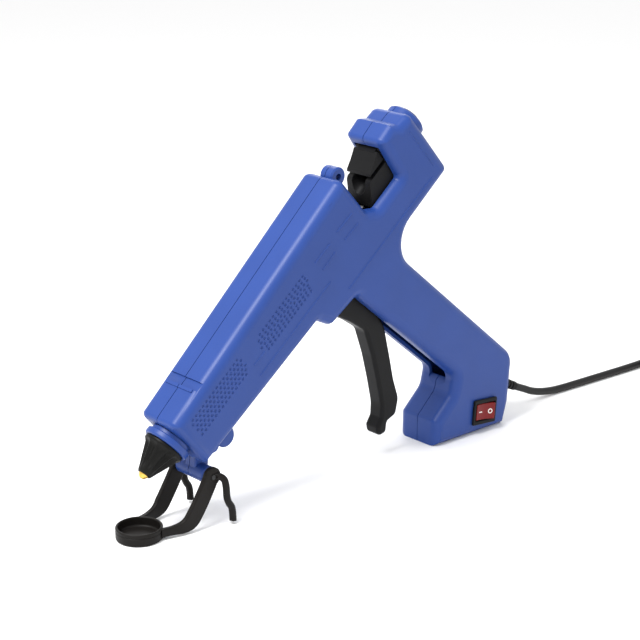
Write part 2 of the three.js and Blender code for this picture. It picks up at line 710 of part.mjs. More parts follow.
function cordTail() {
  const lying = COIL_HEIGHT + PLAY + CORD_RADIUS;
  const entry = PLUG.z + PLUG.height / 2;
  const route = [];
  for (let angle = TOP_TURN.from; angle >= TOP_TURN.to; angle -= TOP_TURN.step) {
    const turned = THREE.MathUtils.degToRad(angle);
    const risen = THREE.MathUtils.smoothstep(-angle, -TOP_TURN.rises, -TOP_TURN.risen);
    route.push([
      COIL.x + COIL.middle * Math.cos(turned),
      COIL.y + COIL.middle * Math.sin(turned),
      lying + (entry - lying) * risen,
    ]);
  }
  route.push([PLUG.x - 2 * PLAY, PLUG.y, entry]);
  return sweep(route, CORD_RADIUS, 48, 10);
}
add(gun, "cord_tail", cordTail(), blackRubber);

const TIE = { thick: 1, width: 8 };

function cordTie() {
  const room = 2.5 * PLAY;
  const width = 2 * (COIL_HALF_WIDTH + room);
  const top = COIL_HEIGHT + 2 * (CORD_RADIUS + PLAY) + PLAY;
  const outside = new THREE.BoxGeometry(width + 2 * TIE.thick, TIE.width, top);
  const inside = new THREE.BoxGeometry(width, 2 * TIE.width, top);
  return cut(outside.translate(0, 0, top / 2 + TIE.thick), inside.translate(0, 0, top / 2));
}
add(gun, "cord_tie", cordTie(), blackPlastic).position.set(COIL.x + COIL.middle, COIL.y, 0);

// The plug's frame: +X runs from the cord to the pins.
function placedAsPlug(name, geometry, look) {
  add(gun, name, geometry, look).position.set(PLUG.x, PLUG.y, PLUG.z);
}

function plugBody() {
  const grip = [
    [0, -4, 2], [12, -PLUG.half], [PLUG.length, -PLUG.half - 6, 2],
    [PLUG.length, PLUG.half + 6, 2], [12, PLUG.half], [0, 4, 2],
  ];
  return new THREE.ExtrudeGeometry(roundedOutline(grip), {
    depth: PLUG.height,
    bevelEnabled: false,
    curveSegments: 3,
  });
}
placedAsPlug("plug_body", plugBody(), blackRubber);

const PLUG_PIN = { radius: 2, length: 19, apart: 19 };

for (const [name, side] of [["left_plug_pin", 1], ["right_plug_pin", -1]]) {
  const pin = new THREE.CylinderGeometry(PLUG_PIN.radius, PLUG_PIN.radius, PLUG_PIN.length, 12);
  pin.rotateZ(Math.PI / 2);
  const middle = PLUG.length + PLAY + PLUG_PIN.length / 2;
  pin.translate(middle, (side * PLUG_PIN.apart) / 2, PLUG.height / 2);
  placedAsPlug(name, pin, brass);
}

// ---------------------------------------------------------------- folding stand
const ARM = { inner: 15, outer: 18.6 };

function standSide(side) {
  const hub = crossRod(6.5, ARM.inner, ARM.outer, STAND_PIVOT.x, STAND_PIVOT.z);
  const strap = slab(
    [[238.5, 29], [253.5, 5.2, 3], [259.5, 0, 2], [264, 6.5], [265.5, 11, 2], [249, 38.5, 3]],
    ARM.inner,
    ARM.outer,
  );
  const foot = new THREE.BoxGeometry(27, 3.4, 6.5).rotateZ(-0.2).translate(267, 14.2, 3.35);
  const leg = sweep(
    [
      [STAND_PIVOT.x - 2, 17, STAND_PIVOT.z],
      [237.6, 20.4, 34.2],
      [235.8, 22.6, 30],
      [235.4, 22.9, 20],
      [233.4, 22.9, 14.5],
      [231.2, 22.9, 10.5],
      [230.6, 22.9, 2.6],
    ],
    2.4,
    18,
    8,
  );
  const beyondCup = new THREE.CylinderGeometry(CUP.radius + PLAY, CUP.radius + PLAY, 30, 36);
  const whole = cut(
    joined(hub, strap, foot, leg),
    crossRod(1.7 + BORE_CLEARANCE, 10, 25, STAND_PIVOT.x, STAND_PIVOT.z, 14),
    beyondCup.rotateX(Math.PI / 2).translate(CUP.x, 0, 0),
  );
  const aboveFloor = new THREE.BoxGeometry(120, 60, 60).translate(260, 0, 30);
  const standing = kept(whole, aboveFloor);
  return side > 0 ? standing : mirrored(standing);
}

// The mirror image across the middle plane, with its faces turned back outward.
function mirrored(geometry) {
  const copy = geometry.clone().scale(1, -1, 1);
  const index = Array.from(copy.index.array);
  for (let i = 0; i < index.length; i += 3) [index[i], index[i + 1]] = [index[i + 1], index[i]];
  return copy.setIndex(index);
}
add(gun, "stand_left_arm", standSide(1), blackPlastic);
add(gun, "stand_right_arm", standSide(-1), blackPlastic);

function dripCup() {
  const profile = [
    [0, 0], [CUP.radius, 0], [CUP.radius, CUP.height], [CUP.radius - CUP.wall, CUP.height],
    [CUP.radius - CUP.wall, CUP.floor], [0, CUP.floor],
  ].map(([radius, z]) => new THREE.Vector2(radius, z));
  return new THREE.LatheGeometry(profile, 36).rotateX(Math.PI / 2);
}
add(gun, "drip_cup", dripCup(), blackPlastic).position.set(CUP.x, 0, 0);
const standPin = crossRod(1.7, -19.4, 19.4, STAND_PIVOT.x, STAND_PIVOT.z, 14);
add(gun, "stand_pivot_pin", standPin, steel);

export default gun;
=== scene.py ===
"""The looks of a corded hot glue gun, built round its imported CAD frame. Blender 4.5."""

import math

import bmesh
import bpy
from mathutils import Matrix, Vector


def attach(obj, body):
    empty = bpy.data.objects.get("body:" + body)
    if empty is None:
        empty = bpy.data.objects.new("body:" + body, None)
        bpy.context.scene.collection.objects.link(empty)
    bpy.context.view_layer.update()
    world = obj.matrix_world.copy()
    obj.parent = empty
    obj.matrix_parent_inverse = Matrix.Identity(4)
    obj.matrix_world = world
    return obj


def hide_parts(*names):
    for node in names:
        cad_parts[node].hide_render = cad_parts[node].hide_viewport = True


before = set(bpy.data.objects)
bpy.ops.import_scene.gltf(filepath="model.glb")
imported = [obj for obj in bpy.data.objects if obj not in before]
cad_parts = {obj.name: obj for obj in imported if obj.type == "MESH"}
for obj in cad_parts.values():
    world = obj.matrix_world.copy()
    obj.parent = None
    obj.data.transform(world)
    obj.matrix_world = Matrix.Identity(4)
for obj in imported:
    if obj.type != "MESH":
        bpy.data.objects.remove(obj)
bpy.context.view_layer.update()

# ---------------------------------------------------------------- driving dimensions
# Lengths are in millimetres, and meshes and curves are scaled to metres as they're made. The camera,
# the lights and the floor are in metres.
MM = 0.001
SAME_PLACE = 1e-6  # metres
NO_LENGTH = 1e-7  # metres
HALF_WIDTH = 20
WALL = 2.5
EDGE_ROUND = 7.5
SEAM_Y = -0.5
SEAM_GAP = 0.5
BEYOND = 40  # farther from the mid-plane than any part of the case

# The barrel's own frame starts at the nozzle tip: "back" runs along the stick away from the tip,
# and "up" is square to it.
TIP = Vector((287.1, 0, 41.1))
LEAN = math.radians(40.8)
BARREL = Matrix.Translation(TIP) @ Matrix.Rotation(LEAN, 4, "Y")
BARREL_FRONT = 33
BARREL_REAR = 233
BLOCK_FRONT = 270
BLOCK_REAR = 303.5
GAP_FLOOR = -11.5
BOSS_END = 309
STICK_RADIUS = 6.2

TRIGGER_PIVOT = (175.7, -37.2)
ARM_PIN = (180.37, -13.15)
TRIGGER_SLOT_HALF = 8.3
LINK_SLOT_HALF = 2.3
CARRIAGE_ROOM_HALF = 12.4

SWITCH = {"x": -11, "z": 17, "tilt": math.radians(5), "half": (12, 9.75)}
SWITCH_HOLE = {"half": (10.8, 8.05), "depth": 5}
ROCKER = {"tilt": math.radians(-9), "half": (8.6, 6.2), "valley": 2, "rise": 1.4, "curve": 1.6}
STAND_PIVOT = (243, 35)
STAND_PIN_HOLE = 2
CUP = {"x": 290, "radius": 15.5, "height": 8.5, "wall": 1.7, "floor": 2}

CORD_DIAMETER = 5.8
CORD_EXIT = Vector((-43, 0, 28.5))
CORD_DROOP = math.radians(25)
RELIEF_LENGTH = 26
COIL = {"x": -268, "y": 20, "middle": 31.3, "turns": 6}
PLUG = {"x": -268, "y": 51.3, "z": 23.8, "length": 30, "height": 14, "pin_y": 9.5}


# ---------------------------------------------------------------- outlines
def barrel_point(back, up, radius=0.0):
    """A point given along the barrel, as a corner of an outline in the XZ plane."""
    x = TIP.x - back * math.cos(LEAN) + up * math.sin(LEAN)
    z = TIP.z + back * math.sin(LEAN) + up * math.cos(LEAN)
    return (x, z, radius)


def corner_parts(corners, index):
    """The corner and the unit directions into it and out of it."""
    here = Vector(corners[index][:2])
    before = (here - Vector(corners[index - 1][:2])).normalized()
    after = (Vector(corners[(index + 1) % len(corners)][:2]) - here).normalized()
    return here, before, after


def cross(a, b):
    return a.x * b.y - a.y * b.x


def inset(corners, distance):
    """An anticlockwise outline moved inward, each corner keeping its arc's centre."""
    moved = []
    for index, corner in enumerate(corners):
        here, before, after = corner_parts(corners, index)
        share = distance / (1 + before.dot(after))
        radius = corner[2] if len(corner) > 2 else 0
        turned = radius - distance if cross(before, after) > 0 else radius + distance
        moved.append((
            here.x - (before.y + after.y) * share,
            here.y + (before.x + after.x) * share,
            max(turned, 0) if radius > 0 else 0,
        ))
    return moved


def outline_points(corners, steps):
    """The outline's points, with each corner's arc in the same number of steps."""
    points = []
    for index, corner in enumerate(corners):
        here, before, after = corner_parts(corners, index)
        radius = corner[2] if len(corner) > 2 else 0
        turn = math.atan2(cross(before, after), before.dot(after))
        cut = radius * math.tan(abs(turn) / 2)
        start = here - before * cut
        toward_centre = Vector((-before.y, before.x)) * math.copysign(radius, turn)
        centre = start + toward_centre
        for step in range(steps + 1):
            points.append(centre + Matrix.Rotation(turn * step / steps, 2) @ -toward_centre)
    return points


# ---------------------------------------------------------------- meshes
def linked_object(name, data):
    obj = bpy.data.objects.new(name, data)
    bpy.context.scene.collection.objects.link(obj)
    return obj


def mesh_object(name, vertices, faces, matrix=None):
    """A closed mesh in metres, with doubled points merged and its faces turned outward."""
    mesh = bpy.data.meshes.new(name)
    scaled = [(matrix @ Vector(v) if matrix else Vector(v)) * MM for v in vertices]
    mesh.from_pydata(scaled, [], faces)
    clean = bmesh.new()
    clean.from_mesh(mesh)
    bmesh.ops.remove_doubles(clean, verts=clean.verts, dist=SAME_PLACE)
    bmesh.ops.dissolve_degenerate(clean, dist=NO_LENGTH, edges=clean.edges)
    bmesh.ops.recalc_face_normals(clean, faces=clean.faces)
    clean.to_mesh(mesh)
    clean.free()
    return linked_object(name, mesh)


def loft(name, rings, matrix=None, joined_ends=False):
    """Quads between rings of equal length, with flat caps or a join from last ring to first."""
    count = len(rings[0])
    vertices = [v for ring in rings for v in ring]
    faces = []
    pairs = len(rings) if joined_ends else len(rings) - 1
    for r in range(pairs):
        low, high = r * count, ((r + 1) % len(rings)) * count
        for i in range(count):
            j = (i + 1) % count
            faces.append((low + i, low + j, high + j, high + i))
    if not joined_ends:
        faces.append(tuple(range(count)))
        faces.append(tuple(range((len(rings) - 1) * count, len(rings) * count)))
    return mesh_object(name, vertices, faces, matrix)


def slab(name, corners, low, high, edge=0.0, edge_steps=6, arc_steps=8, matrix=None):
    """An outline in the XZ plane with thickness along Y, its two rims rounded."""
    rings = []
    for side, face in ((-1, low), (1, high)):
        steps = range(edge_steps, -1, -1) if side < 0 else range(edge_steps + 1)
        for step in steps if edge else (0,):
            angle = math.pi / 2 * step / edge_steps
            y = face - side * edge * (1 - math.sin(angle))
            ring = outline_points(inset(corners, edge * (1 - math.cos(angle))), arc_steps)
            rings.append([(p.x, y, p.y) for p in ring])
    return loft(name, rings, matrix)


def lathe(name, profile, segments=64, matrix=None, shape=None):
    """A closed profile of (radius, along) turned about the local X axis, towards -X."""
    rings = []
    for index in range(segments):
        angle = 2 * math.pi * index / segments
        ring = []
        for radius, along in profile:
            r = shape(radius, along, angle) if shape else radius
            ring.append((-along, r * math.cos(angle), r * math.sin(angle)))
        rings.append(ring)
    return loft(name, rings, matrix, joined_ends=True)


def across_matrix(x, z):
    """The frame of a lathe whose axis is a line along Y, with its profile towards +Y."""
    return Matrix.Translation((x, 0, z)) @ Matrix.Rotation(-math.pi / 2, 4, "Z")


def rod(name, radius, low, high, x, z, rim=0.0, segments=32):
    """A rod along Y with slightly rounded ends."""
    profile = [(0, low), (radius - rim, low), (radius, low + rim), (radius, high - rim),
               (radius - rim, high), (0, high)]
    return lathe(name, profile, segments, across_matrix(x, z))


def block(name, low, high, matrix=None):
    """A box between two opposite corners."""
    xs, ys, zs = zip(low, high)
    corners = [(x, y, z) for x in xs for y in ys for z in zs]
    faces = [(0, 1, 3, 2), (4, 6, 7, 5), (0, 4, 5, 1), (2, 3, 7, 6), (0, 2, 6, 4), (1, 5, 7, 3)]
    return mesh_object(name, corners, faces, matrix)


def smooth_path(points):
    """Catmull-Rom points through the given ones."""
    per_span = 6
    points = [Vector(p) for p in points]
    ends = [2 * points[0] - points[1]] + points + [2 * points[-1] - points[-2]]
    path = []
    for i in range(1, len(ends) - 2):
        a, b, c, d = ends[i - 1:i + 3]
        for k in range(per_span):
            t = k / per_span
            path.append(0.5 * ((2 * b) + (c - a) * t + (2 * a - 5 * b + 4 * c - d) * t * t
                               + (3 * b - a - 3 * c + d) * t ** 3))
    return path + [points[-1]]


def sweep(name, path, section, across=Vector((0, 1, 0))):
    """A section of (across, up) points, or a function of the share of the path, along a path."""
    rings = []
    for i, point in enumerate(path):
        ahead = (path[min(i + 1, len(path) - 1)] - path[max(i - 1, 0)]).normalized()
        side = (across - ahead * across.dot(ahead)).normalized()
        up = ahead.cross(side)
        outline = section(i / (len(path) - 1)) if callable(section) else section
        rings.append([point + side * a + up * b for a, b in outline])
    return loft(name, rings)


def round_section(radius, sides):
    turn = 2 * math.pi / sides
    return [(radius * math.cos(turn * i), radius * math.sin(turn * i)) for i in range(sides)]


def rectangle(half_x, half_z, radius=0.0):
    """A rectangle's corners, anticlockwise."""
    return [(-half_x, -half_z, radius), (half_x, -half_z, radius), (half_x, half_z, radius),
            (-half_x, half_z, radius)]


def box_section(half_thick, half_wide, radius):
    return [(p.x, p.y) for p in outline_points(rectangle(half_thick, half_wide, radius), 4)]


# ---------------------------------------------------------------- booleans
def apply_modifiers(obj):
    graph = bpy.context.evaluated_depsgraph_get()
    made = bpy.data.meshes.new_from_object(obj.evaluated_get(graph))
    old = obj.data
    obj.modifiers.clear()
    obj.data = made
    bpy.data.meshes.remove(old)


def boolean(obj, tools, operation):
    """Joins, cuts or keeps with each tool in turn, and removes the tools."""
    for tool in tools:
        step = obj.modifiers.new("step", "BOOLEAN")
        step.object = tool
        step.operation = operation
        step.solver = "MANIFOLD"
        apply_modifiers(obj)
        bpy.data.objects.remove(tool)
    return obj


def joined(obj, *tools):
    return boolean(obj, tools, "UNION")


def cut(obj, *tools):
    return boolean(obj, tools, "DIFFERENCE")


def kept(obj, region):
    return boolean(obj, [region], "INTERSECT")


def as_one(name, parts):
    """Solids that don't touch each other, as one object, for use as a tool."""
    whole = bmesh.new()
    for part in parts:
        whole.from_mesh(part.data)
        bpy.data.objects.remove(part)
    mesh = bpy.data.meshes.new(name)
    whole.to_mesh(mesh)
    whole.free()
    return linked_object(name, mesh)


def shade(obj, angle=35):
    """Smooth shading with sharp edges kept, and flat faces that stay flat."""
    obj.data.shade_smooth()
    obj.data.set_sharp_from_angle(angle=math.radians(angle))
    weigh = obj.modifiers.new("flat faces", "WEIGHTED_NORMAL")
    weigh.keep_sharp = True
    return obj


def bevel(obj, width, segments=2, angle=30):
    rounder = obj.modifiers.new("edges", "BEVEL")
    rounder.width = width * MM
    rounder.segments = segments
    rounder.limit_method = "ANGLE"
    rounder.angle_limit = math.radians(angle)
    rounder.harden_normals = False
    apply_modifiers(obj)
    return obj


def finish_piece(obj, body, material, slot_name, *nodes):
    """Gives a piece its material and its body, and hides the CAD nodes that it stands for."""
    obj.data.materials.clear()
    obj.data.materials.append(material)
    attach(obj, body)
    if nodes:
        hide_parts(*nodes)
    return obj


# ---------------------------------------------------------------- materials
def new_material(name, color, roughness, metallic=0.0, specular=0.5):
    material = bpy.data.materials.new(name)
    material.use_nodes = True
    shader = material.node_tree.nodes["Principled BSDF"]
    shader.inputs["Base Color"].default_value = (*color, 1)
    shader.inputs["Roughness"].default_value = roughness
    shader.inputs["Metallic"].default_value = metallic
    shader.inputs["Specular IOR Level"].default_value = specular
    return material, shader


def add_noise(material, scale, detail=2.0, stretch=(1, 1, 1)):
    tree = material.node_tree
    place = tree.nodes.new("ShaderNodeTexCoord")
    mapping = tree.nodes.new("ShaderNodeMapping")
    mapping.inputs["Scale"].default_value = stretch
    tree.links.new(place.outputs["Object"], mapping.inputs["Vector"])
    grain = tree.nodes.new("ShaderNodeTexNoise")
    grain.inputs["Scale"].default_value = scale
    grain.inputs["Detail"].default_value = detail
    tree.links.new(mapping.outputs["Vector"], grain.inputs["Vector"])
    return grain.outputs["Fac"]


def add_range(material, value, low, high, target):
    tree = material.node_tree
    spread = tree.nodes.new("ShaderNodeMapRange")
    spread.inputs["To Min"].default_value = low
    spread.inputs["To Max"].default_value = high
    tree.links.new(value, spread.inputs["Value"])
    tree.links.new(spread.outputs["Result"], target)


def add_bump(material, shader, height, distance):
    tree = material.node_tree
    bump = tree.nodes.new("ShaderNodeBump")
    bump.inputs["Distance"].default_value = distance
    bump.inputs["Strength"].default_value = 1
    tree.links.new(height, bump.inputs["Height"])
    tree.links.new(bump.outputs["Normal"], shader.inputs["Normal"])


def add_color_drift(material, shader, value, dark, light):
    tree = material.node_tree
    ramp = tree.nodes.new("ShaderNodeValToRGB")
    ramp.color_ramp.elements[0].position = 0.3
    ramp.color_ramp.elements[1].position = 0.7
    ramp.color_ramp.elements[0].color = (*dark, 1)
    ramp.color_ramp.elements[1].color = (*light, 1)
    tree.links.new(value, ramp.inputs["Fac"])
    tree.links.new(ramp.outputs["Color"], shader.inputs["Base Color"])


SLOW_DRIFT = 35  # the scale of the noise under the drifts of colour
GLOSS_DRIFT = 90
BRUSH_LINES = 500


def textured(name, color, roughness, grain, depth, drift=0.06, spread=0.06, specular=0.3):
    """Moulded or machined stuff: a fine surface grain, with slow drifts of colour and gloss."""
    material, shader = new_material(name, color, roughness, 0, specular)
    slow = add_noise(material, SLOW_DRIFT)
    dark = [c * (1 - drift) for c in color]
    light = [min(c * (1 + drift), 1) for c in color]
    add_color_drift(material, shader, slow, dark, light)
    gloss = add_noise(material, GLOSS_DRIFT, 3)
    add_range(material, gloss, roughness - spread, roughness + spread, shader.inputs["Roughness"])
    add_bump(material, shader, add_noise(material, grain, 3), depth)
    return material


def brushed(name, color, roughness, stretch=(1, 1, 1)):
    """Metal with fine lines that vary its gloss."""
    material, shader = new_material(name, color, roughness, 1)
    lines = add_noise(material, BRUSH_LINES, 3, stretch)
    glossy, dull = roughness - 0.1, roughness + 0.12
    add_range(material, lines, glossy, dull, shader.inputs["Roughness"])
    add_bump(material, shader, lines, 0.00002)
    return material


BLUE = textured("blue plastic", (0.015, 0.048, 0.222), 0.4, grain=1500, depth=0.00004, drift=0.035,
                spread=0.05)
BLACK = textured("black plastic", (0.0065, 0.0065, 0.007), 0.42, grain=1400, depth=0.00004, drift=0.15,
                 specular=0.12)
STAND_BLACK = textured("stand nylon", (0.009, 0.0078, 0.007), 0.45, grain=1100, depth=0.00005, drift=0.15,
                       specular=0.12)
RUBBER = textured("black rubber", (0.0055, 0.0055, 0.005), 0.42, grain=1800, depth=0.00003, drift=0.2,
                  specular=0.12)
CORD_RUBBER = textured("cord jacket", (0.008, 0.008, 0.008), 0.42, grain=2500, depth=0.00002, drift=0.1,
                       specular=0.25)
RED = textured("red switch plastic", (0.15, 0.004, 0.005), 0.22, grain=700, depth=0.00001, drift=0.1,
               spread=0.04, specular=0.25)
MARK_WHITE = textured("white marking", (0.75, 0.72, 0.68), 0.4, grain=900, depth=0.00001, drift=0.02)
SILICONE = textured("silicone", (0.62, 0.55, 0.38), 0.5, grain=600, depth=0.00003)
FIBRE = textured("insulation fibre", (0.6, 0.55, 0.45), 0.9, grain=700, depth=0.0002, drift=0.2)
CERAMIC = textured("ceramic", (0.72, 0.68, 0.6), 0.6, grain=900, depth=0.00002)
HEAT_PLASTIC = textured("heat plastic", (0.1, 0.06, 0.04), 0.55, grain=900, depth=0.00004)
ALUMINIUM = brushed("cast aluminium", (0.62, 0.63, 0.64), 0.45)
DARK_STEEL = textured("blackened steel", (0.02, 0.02, 0.021), 0.4, grain=900, depth=0.00002)
STEEL = brushed("steel", (0.5, 0.51, 0.53), 0.32, stretch=(1, 12, 1))
BRASS = brushed("brass", (0.72, 0.46, 0.1), 0.3)


# ---------------------------------------------------------------- camera, light and floor
FLOOR_HALF = 3  # metres


def make_camera():
    data = bpy.data.cameras.new("camera")
    data.sensor_width = 36
    data.lens = 101.25
    camera = linked_object("camera", data)
    camera.location = (0.9102, 0.8718, 0.4959)
    camera.rotation_mode = "QUATERNION"
    toward = Vector((-0.6323, -0.7097, -0.3107))
    camera.rotation_quaternion = toward.to_track_quat("-Z", "Y")
    bpy.context.scene.camera = camera


def area_light(name, place, target, size, power):
    data = bpy.data.lights.new(name, "AREA")
    data.shape = "DISK"
    data.size = size
    data.energy = power
    light = linked_object(name, data)
    light.location = place
    light.rotation_mode = "QUATERNION"
    light.rotation_quaternion = (Vector(target) - Vector(place)).to_track_quat("-Z", "Y")


def make_studio():
    world = bpy.data.worlds.new("studio")
    world.use_nodes = True
    sky = world.node_tree.nodes["Background"]
    sky.inputs["Color"].default_value = (1, 1, 1, 1)
    sky.inputs["Strength"].default_value = 1
    bpy.context.scene.world = world
    aim = (0.1, 0, 0.1)
    area_light("key", (0.8, 0, 1.1), aim, size=0.6, power=18)
    area_light("fill", (-0.4, 1.1, 0.5), aim, size=0.9, power=1.5)
    area_light("back", (-0.6, -0.9, 0.8), aim, size=0.8, power=4)
    bpy.context.scene.view_settings.view_transform = "Standard"
    mesh = bpy.data.meshes.new("floor")
    corners = [(x, y, 0) for x, y, _ in rectangle(FLOOR_HALF, FLOOR_HALF)]
    mesh.from_pydata(corners, [], [(0, 1, 2, 3)])
    floor = linked_object("floor", mesh)
    paper, shader = new_material("white paper", (0.92, 0.92, 0.92), roughness=0.8)
    grain = add_noise(paper, scale=8, detail=4)
    add_range(paper, grain, 0.78, 0.86, shader.inputs["Roughness"])
    floor.data.materials.append(paper)


make_camera()
make_studio()


# ---------------------------------------------------------------- cord
def exit_matrix():
    """The frame of the cord's way out: local -X is outward."""
    return Matrix.Translation(CORD_EXIT) @ Matrix.Rotation(-CORD_DROOP, 4, "Y")


def exit_point(out):
    return exit_matrix() @ Vector((-out, 0, 0))


FREE_ROUTE = [
    (-79, 0, 11.9), (-86, 0.15, 8.7), (-94, 0.4, 6.2), (-102.5, 0.8, 4.5), (-112, 1.2, 3.4),
    (-123, 1.9, 3.05), (-135, 2.6, 3), (-147, 3.3, 3), (-160, 4, 3), (-175, 4.8, 3), (-190, 5.6, 3),
    (-203, 6.1, 3), (-214.5, 6.2, 3), (-223.2, 5.1, 3), (-231.3, 1.7, 3), (-241, -3.9, 2.98),
]


def free_stretch():
    """From inside the strain relief's end down to the floor, and along it to the coil."""
    hidden, straight = 0.5, 4
    leaving = [exit_point(RELIEF_LENGTH - hidden), exit_point(RELIEF_LENGTH + straight)]
    return leaving + [Vector(point) for point in FREE_ROUTE]


def smoothstep(share):
    share = min(max(share, 0), 1)
    return share * share * (3 - 2 * share)


# The turns fill a bundle two wide and three high, and the last one lies on top. Each entry is
# how far a turn lies from the middle of the bundle, and its height.
COIL_SLOTS = [(2.9, 2.95), (-2.9, 2.95), (-2.9, 8.75), (2.9, 8.75), (2.9, 14.55), (-2.9, 14.55), (0, 20.5)]
# The rest of the coil's numbers are in degrees. The turns run clockwise from the first angle. Each one
# moves over to the next place near its end, and begins to a little earlier than the one before.
POINTS_A_TURN = 24
FIRST_ANGLE = -60
TOP_TURN = {"length": 195, "rise_from": 95, "rise": 110}
MOVE_OVER = {"from": 262, "earlier": 15, "length": 96}


def coil_turns():
    """Clockwise turns from the floor up, and a last part on top that rises towards the plug."""
    points = []
    step = 360 / POINTS_A_TURN
    whole = COIL["turns"] * 360
    climb = PLUG["z"] + PLUG["height"] / 2 - COIL_SLOTS[-1][1]
    for index in range(round((whole + TOP_TURN["length"]) / step) + 1):
        turned = index * step
        turn = min(int(turned // 360), COIL["turns"] - 1)
        begins = 360 * turn + MOVE_OVER["from"] - MOVE_OVER["earlier"] * turn
        moved = smoothstep((turned - begins) / MOVE_OVER["length"])
        (near, low), (far, high) = COIL_SLOTS[turn], COIL_SLOTS[turn + 1]
        radius = COIL["middle"] + near + (far - near) * moved
        rise = smoothstep((turned - whole - TOP_TURN["rise_from"]) / TOP_TURN["rise"]) * climb
        angle = math.radians(FIRST_ANGLE - turned)
        x = COIL["x"] + radius * math.cos(angle)
        y = COIL["y"] + radius * math.sin(angle)
        points.append(Vector((x, y, low + (high - low) * moved + rise)))
    return points


def plug_tail():
    """The last of the cord, which ends a little inside the plug's narrow end."""
    inside = 2
    return [Vector((PLUG["x"] + inside, PLUG["y"], PLUG["z"] + PLUG["height"] / 2))]


def make_cord():
    route = free_stretch() + coil_turns() + plug_tail()
    data = bpy.data.curves.new("cord", "CURVE")
    data.dimensions = "3D"
    data.bevel_depth = CORD_DIAMETER / 2 * MM
    data.bevel_resolution = 5
    data.use_fill_caps = True
    data.resolution_u = 4
    line = data.splines.new("BEZIER")
    line.bezier_points.add(len(route) - 1)
    for i, point in enumerate(route):
        before = route[max(i - 1, 0)]
        after = route[min(i + 1, len(route) - 1)]
        knot = line.bezier_points[i]
        knot.co = point * MM
        knot.handle_left_type = knot.handle_right_type = "FREE"
        ahead = (after - before).normalized()
        knot.handle_left = (point - ahead * (point - before).length / 3) * MM
        knot.handle_right = (point + ahead * (after - point).length / 3) * MM
    cord = linked_object("cord", data)
    finish_piece(cord, "housing", CORD_RUBBER, "black_rubber", "power_cord", "cord_coil", "cord_tail")
    length = sum((b - a).length for a, b in zip(route, route[1:])) * MM
    return cord, route, length


RELIEF_GROOVES = {"count": 5, "first": 5, "pitch": 3.7, "depth": 0.75}


def relief_radius(along):
    """The tapered outside of the strain relief."""
    return 4.95 - 0.075 * (along - 2)


def make_strain_relief():
    """A tapered sleeve with ring grooves, its collar inside the wall."""
    profile = [(2.95, RELIEF_LENGTH), (2.95, -17), (3.4, -17.5), (3.4, -8.2), (5.6, -8.2), (5.6, -6.4),
               (4.2, -6.4), (4.2, 1.7), (4.9, 2), (5, 2.6)]
    for k in range(RELIEF_GROOVES["count"]):
        at = RELIEF_GROOVES["first"] + k * RELIEF_GROOVES["pitch"]
        radius = relief_radius(at)
        bottom = radius - RELIEF_GROOVES["depth"]
        profile += [(radius, at), (bottom, at + 0.35), (bottom, at + 1.2), (radius - 0.1, at + 1.55)]
    profile += [(3.45, RELIEF_LENGTH - 0.4), (3.15, RELIEF_LENGTH)]
    relief = shade(lathe("strain_relief_sleeve", profile, 48, exit_matrix()))
    return finish_piece(relief, "housing", RUBBER, "black_rubber", "strain_relief")


def make_tie():
    """A hook-and-loop strap round the coil and the turn that lies on it."""
    room, thick, half_wide = 0.75, 1, 4
    inner = CORD_DIAMETER + room
    outer = inner + thick
    top, sole = 25.1, 0.4
    corners = [(-outer, sole), (-inner, sole), (-inner, top - thick, 2.2), (inner, top - thick, 2.2),
               (inner, sole), (outer, sole), (outer, top, 3), (-outer, top, 3)]
    place = Matrix.Translation((COIL["x"] + COIL["middle"], COIL["y"], 0))
    strap = shade(slab("cord_tie_strap", corners, -half_wide, half_wide, 0.3, 2, 6, place))
    return finish_piece(strap, "housing", BLACK, "black_plastic", "cord_tie")


GRIP_GROOVES = {"count": 4, "first": 7, "pitch": 2.6, "width": 1.1, "half": 5, "depth": 0.5}


def grip_grooves(place):
    """Short grooves across the plug's two flat faces."""
    depth, half = GRIP_GROOVES["depth"], GRIP_GROOVES["half"]
    grooves = []
    for k in range(GRIP_GROOVES["count"]):
        x = GRIP_GROOVES["first"] + k * GRIP_GROOVES["pitch"]
        for face in (0, PLUG["height"]):
            low = (x, -half, face - depth)
            high = (x + GRIP_GROOVES["width"], half, face + depth)
            grooves.append(block("groove", low, high, place))
    return as_one("grooves", grooves)


def make_plug():
    """A flat two-pin plug that lies on the coil: a waisted grip that widens to the pin face."""
    corners = [(0, -4, 2.5), (11, -8.5, 8), (PLUG["length"], -16, 3), (PLUG["length"], 16, 3), (11, 8.5, 8),
               (0, 4, 2.5)]
    laid_flat = Matrix(((1, 0, 0, 0), (0, 0, 1, 0), (0, 1, 0, 0), (0, 0, 0, 1)))
    place = Matrix.Translation((PLUG["x"], PLUG["y"], PLUG["z"]))
    body = slab("plug_grip", corners, 0, PLUG["height"], 2.4, 5, 6, place @ laid_flat)
    shade(cut(body, grip_grooves(place)))
    finish_piece(body, "housing", RUBBER, "black_rubber", "plug_body")
    pins = []
    pin_profile = [(0, 0), (2, 0), (2, 17.6), (1.6, 18.8), (0.8, 19.3), (0, 19.3)]
    sunk = 0.3
    for name, side in (("left_plug_pin", 1), ("right_plug_pin", -1)):
        root = Matrix.Translation((PLUG["length"] - sunk, side * PLUG["pin_y"], PLUG["height"] / 2))
        outward = place @ root @ Matrix.Rotation(math.pi, 4, "Z")
        pin = shade(lathe(name + "_round", pin_profile, 32, outward))
        pins.append(finish_piece(pin, "housing", BRASS, "brass", name))
    return [body, *pins]


cord, cord_route, cord_length = make_cord()
relief = make_strain_relief()
tie = make_tie()
plug_pieces = make_plug()


